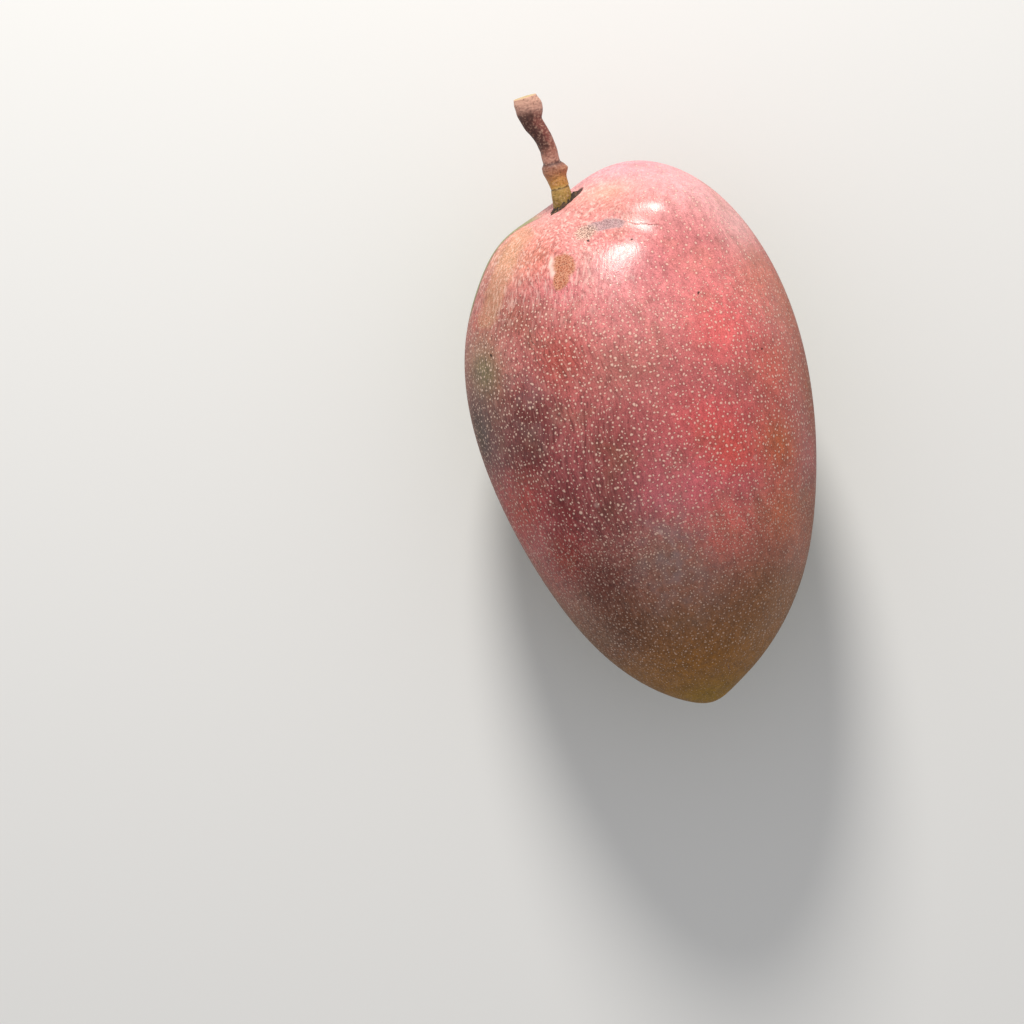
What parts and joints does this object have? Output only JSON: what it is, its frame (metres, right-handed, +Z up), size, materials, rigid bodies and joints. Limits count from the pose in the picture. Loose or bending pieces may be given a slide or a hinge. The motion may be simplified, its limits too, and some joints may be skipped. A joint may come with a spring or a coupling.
{
  "type": "mango",
  "caption": "Picked mango, long egg-shaped with a creased shoulder and a small blunt tip, lying on its side on a small flat spot, with a short knobbly cut stalk.",
  "frame": {"origin": "middle of the flat spot under the fruit, on the surface it rests on", "axes": "+Y along the fruit towards its stalk, +X to the right across it as seen from above with the stalk at the top, +Z up from the surface"},
  "size_m": [0.0884, 0.1632, 0.079],
  "materials": {
    "skin": "smooth waxy skin, rose to maroon over olive, with fine pale dots",
    "stalk_bark": "dry young bark, ochre to pinkish brown"
  },
  "bodies": {
    "root": {"fruit": "skin", "stalk": "stalk_bark"}
  },
  "joints": []
}
